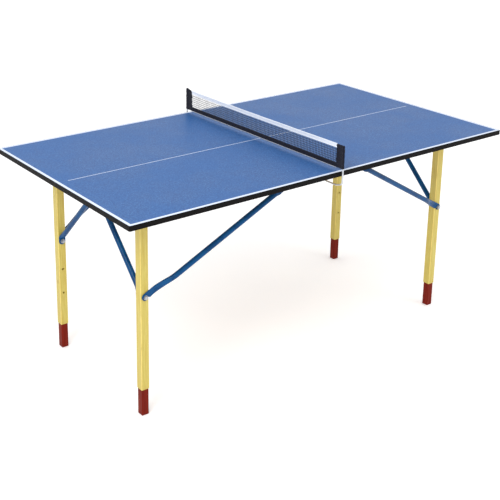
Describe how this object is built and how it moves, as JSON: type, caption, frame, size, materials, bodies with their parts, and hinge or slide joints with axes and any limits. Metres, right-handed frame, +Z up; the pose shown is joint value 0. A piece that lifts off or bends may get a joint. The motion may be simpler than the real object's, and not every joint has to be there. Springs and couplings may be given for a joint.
{
  "type": "folding mini table tennis table",
  "caption": "Small blue table tennis table with a clip-on net, square yellow wooden legs with red feet, steel tube braces and end frames that fold inward under the top",
  "frame": {"origin": "on the floor below the centre of the table top", "axes": "+X along the long side, +Y along the short side from the front to the back, +Z up"},
  "size_m": [1.42, 0.7772, 0.7245],
  "materials": {
    "board_fibre": "bare pressed wood fibre",
    "blue_laminate": "satin blue laminate",
    "white_line_paint": "printed white line",
    "black_edge_plastic": "smooth black edge strip",
    "blue_painted_steel": "gloss blue paint on steel tube and sheet",
    "zinc_steel": "zinc-plated fasteners",
    "bright_wire": "bright drawn wire",
    "net_cord": "knotted dark net cord",
    "white_tape": "folded white woven tape",
    "black_tape": "black woven tape",
    "grey_cord": "light braided cord",
    "yellow_wood": "yellow lacquered wood",
    "red_wood": "red dipped lacquer on wood"
  },
  "bodies": {
    "table_top": {"board_core": "board_fibre", "playing_surface": "blue_laminate", "court_lines": "white_line_paint", "centre_stripe": "white_line_paint", "edge_band": "black_edge_plastic", "leg_hanger_front_left": "blue_painted_steel", "leg_hanger_back_left": "blue_painted_steel", "leg_hanger_front_right": "blue_painted_steel", "leg_hanger_back_right": "blue_painted_steel", "apex_hanger_left": "blue_painted_steel", "apex_hanger_right": "blue_painted_steel", "stay_bracket_front_left": "blue_painted_steel", "stay_bracket_back_left": "blue_painted_steel", "stay_bracket_front_right": "blue_painted_steel", "stay_bracket_back_right": "blue_painted_steel", "pivot_bolts": "zinc_steel", "pivot_nuts": "zinc_steel", "apex_bolts": "zinc_steel", "apex_nuts": "zinc_steel", "stay_pins": "zinc_steel", "stay_nuts": "zinc_steel", "bracket_screws": "zinc_steel", "net_mesh": "net_cord", "net_top_tape": "white_tape", "net_bottom_tape": "black_tape", "net_bottom_cord": "grey_cord", "net_sleeve_front": "black_tape", "net_sleeve_back": "black_tape", "net_post_front": "bright_wire", "net_post_back": "bright_wire"},
    "end_frame_left": {"leg_front_left": "yellow_wood", "leg_back_left": "yellow_wood", "foot_front_left": "red_wood", "foot_back_left": "red_wood", "brace_front_left": "blue_painted_steel", "brace_back_left": "blue_painted_steel", "hinge_barrel_left": "blue_painted_steel", "tie_bolts_left": "zinc_steel", "tie_washers_left": "zinc_steel", "tie_nuts_left": "zinc_steel"},
    "end_frame_right": {"leg_front_right": "yellow_wood", "leg_back_right": "yellow_wood", "foot_front_right": "red_wood", "foot_back_right": "red_wood", "brace_front_right": "blue_painted_steel", "brace_back_right": "blue_painted_steel", "hinge_barrel_right": "blue_painted_steel", "tie_bolts_right": "zinc_steel", "tie_washers_right": "zinc_steel", "tie_nuts_right": "zinc_steel"},
    "stay_arm_front_left": {"stay_front_left": "blue_painted_steel"},
    "stay_arm_back_left": {"stay_back_left": "blue_painted_steel"},
    "stay_arm_front_right": {"stay_front_right": "blue_painted_steel"},
    "stay_arm_back_right": {"stay_back_right": "blue_painted_steel"}
  },
  "joints": [
    {"name": "fold_left", "type": "hinge", "parent": "table_top", "child": "end_frame_left", "pos_m": [-0.58425, 0, 0.57825], "axis": [0, -1, 0], "range_deg": [0, 90]},
    {"name": "fold_right", "type": "hinge", "parent": "table_top", "child": "end_frame_right", "pos_m": [0.58425, 0, 0.57825], "axis": [0, 1, 0], "range_deg": [0, 90]},
    {"name": "stay_swing_front_left", "type": "hinge", "parent": "table_top", "child": "stay_arm_front_left", "pos_m": [-0.155, -0.31, 0.61], "axis": [0, 1, 0], "range_deg": [0, 29.72]},
    {"name": "stay_swing_back_left", "type": "hinge", "parent": "table_top", "child": "stay_arm_back_left", "pos_m": [-0.155, 0.31, 0.61], "axis": [0, 1, 0], "range_deg": [0, 29.72]},
    {"name": "stay_swing_front_right", "type": "hinge", "parent": "table_top", "child": "stay_arm_front_right", "pos_m": [0.155, -0.31, 0.61], "axis": [0, -1, 0], "range_deg": [0, 29.72]},
    {"name": "stay_swing_back_right", "type": "hinge", "parent": "table_top", "child": "stay_arm_back_right", "pos_m": [0.155, 0.31, 0.61], "axis": [0, -1, 0], "range_deg": [0, 29.72]}
  ],
  "couplings": [
    {"joint": "stay_swing_front_left", "follows": "fold_left", "ratio": 0.33018},
    {"joint": "stay_swing_back_left", "follows": "fold_left", "ratio": 0.33018},
    {"joint": "stay_swing_front_right", "follows": "fold_right", "ratio": 0.33018},
    {"joint": "stay_swing_back_right", "follows": "fold_right", "ratio": 0.33018}
  ]
}
